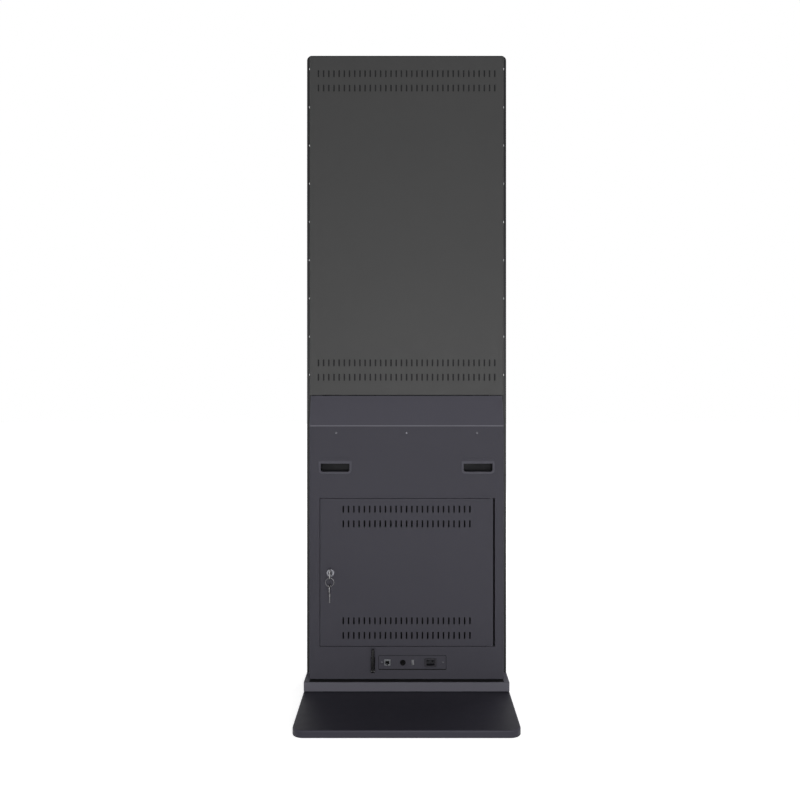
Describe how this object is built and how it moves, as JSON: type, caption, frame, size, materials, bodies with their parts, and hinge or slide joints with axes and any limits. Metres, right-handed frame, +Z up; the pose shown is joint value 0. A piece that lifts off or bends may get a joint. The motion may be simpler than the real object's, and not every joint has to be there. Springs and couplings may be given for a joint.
{
  "type": "touchscreen kiosk",
  "caption": "Slim floor-standing portrait touchscreen kiosk on a weighted flat base, with vented rear covers, a lockable service door, recessed handles, a connector plate and an antenna.",
  "frame": {"origin": "middle of the base on the floor", "axes": "+Z up, the screen faces -Y, the rear covers and the service door face +Y"},
  "size_m": [0.6, 0.478, 1.903],
  "materials": {
    "base_coat": "fine satin powder coat, near black",
    "ballast_steel": "raw ground plate",
    "upper_coat": "fine texture powder coat, mid grey",
    "lower_coat": "fine texture powder coat, bluish grey",
    "collar_coat": "fine texture powder coat, bluish grey",
    "frame_coat": "satin anodised dark grey",
    "zinc_steel": "zinc plated",
    "inner_coat": "matte black coat",
    "screw_steel": "nickel plated pan heads",
    "lock_chrome": "polished plate",
    "key_steel": "nickel plated, rubbed",
    "handle_plastic": "moulded, fine grain",
    "screen_glass": "toughened, dark behind",
    "display_stack": "dark panel",
    "diffuser": "white diffuser",
    "circuit_board": "solder mask",
    "jack_metal": "tinned shell",
    "socket_plastic": "moulded black",
    "antenna_metal": "plated thread",
    "antenna_plastic": "satin black",
    "lead_rubber": "matte jacket"
  },
  "bodies": {
    "kiosk": {"base_bottom_plate": "base_coat", "base_ballast": "ballast_steel", "base_cover": "base_coat", "base_screws": "zinc_steel", "collar": "collar_coat", "foot_left": "zinc_steel", "foot_right": "zinc_steel", "foot_bolts": "zinc_steel", "upright_left": "inner_coat", "upright_right": "inner_coat", "crossbars": "inner_coat", "frame_left": "frame_coat", "frame_right": "frame_coat", "frame_top": "frame_coat", "frame_bottom": "frame_coat", "front_glass": "screen_glass", "touch_sensor": "display_stack", "lcd_cell": "display_stack", "backlight": "diffuser", "lcd_tray": "inner_coat", "driver_board": "circuit_board", "touch_controller": "circuit_board", "lower_front_panel": "frame_coat", "upper_rear_cover": "upper_coat", "lower_rear_housing": "lower_coat", "rail_upper_left": "inner_coat", "rail_upper_right": "inner_coat", "rail_upper_top": "inner_coat", "rail_lower_left": "inner_coat", "rail_lower_right": "inner_coat", "cover_screws": "screw_steel", "housing_screws": "screw_steel", "hinge_brackets": "zinc_steel", "hinge_pins": "zinc_steel", "handle_left": "handle_plastic", "handle_right": "handle_plastic", "io_plate": "lower_coat", "lan_jack": "jack_metal", "button_housing": "socket_plastic", "usb_port": "jack_metal", "power_inlet": "socket_plastic", "io_screws": "screw_steel", "antenna_socket": "antenna_metal", "equipment_plate": "inner_coat", "power_supply": "zinc_steel", "main_board": "circuit_board", "power_lead": "lead_rubber", "display_cable": "lead_rubber"},
    "service_door": {"service_door": "lower_coat", "lock_barrel": "lock_chrome", "lock_nut": "lock_chrome"},
    "lock_plug": {"lock_plug": "lock_chrome", "lock_cam": "lock_chrome", "cam_screw": "screw_steel"},
    "door_key": {"door_key": "key_steel"},
    "key_ring": {"key_ring": "key_steel"},
    "spare_key": {"spare_key": "key_steel"},
    "power_button": {"power_button": "socket_plastic"},
    "antenna_knuckle": {"antenna_knuckle": "antenna_plastic"},
    "antenna_whip": {"antenna_whip": "antenna_plastic"}
  },
  "joints": [
    {"name": "door_hinge", "type": "hinge", "parent": "kiosk", "child": "service_door", "pos_m": [-0.248, -0.037, 0.3615], "axis": [0, 0, 1], "range_deg": [0, 110]},
    {"name": "lock_turn", "type": "hinge", "parent": "service_door", "child": "lock_plug", "pos_m": [0.2236, -0.031, 0.36], "axis": [0, 1, 0], "range_deg": [0, 90]},
    {"name": "key_pull", "type": "slide", "parent": "lock_plug", "child": "door_key", "axis": [0, 1, 0], "range_m": [0, 0.03]},
    {"name": "ring_swing", "type": "hinge", "parent": "door_key", "child": "key_ring", "pos_m": [0.2236, -0.009, 0.3498], "axis": [1, 0, 0], "range_deg": [0, 75]},
    {"name": "spare_key_slide", "type": "hinge", "parent": "key_ring", "child": "spare_key", "pos_m": [0.2236, -0.009, 0.3378], "axis": [0, 1, 0], "range_deg": [-90, 0]},
    {"name": "power_button_press", "type": "slide", "parent": "kiosk", "child": "power_button", "axis": [0, -1, 0], "range_m": [0, 0.0025], "stiffness_N_per_m": 400},
    {"name": "antenna_swivel", "type": "hinge", "parent": "kiosk", "child": "antenna_knuckle", "pos_m": [0.098, -0.031, 0.078], "axis": [0, 1, 0], "range_deg": [-90, 90]},
    {"name": "antenna_tilt", "type": "hinge", "parent": "antenna_knuckle", "child": "antenna_whip", "pos_m": [0.098, -0.012, 0.078], "axis": [-1, 0, 0], "range_deg": [0, 90]}
  ],
  "couplings": [
    {"joint": "spare_key_slide", "follows": "lock_turn", "ratio": -1}
  ]
}
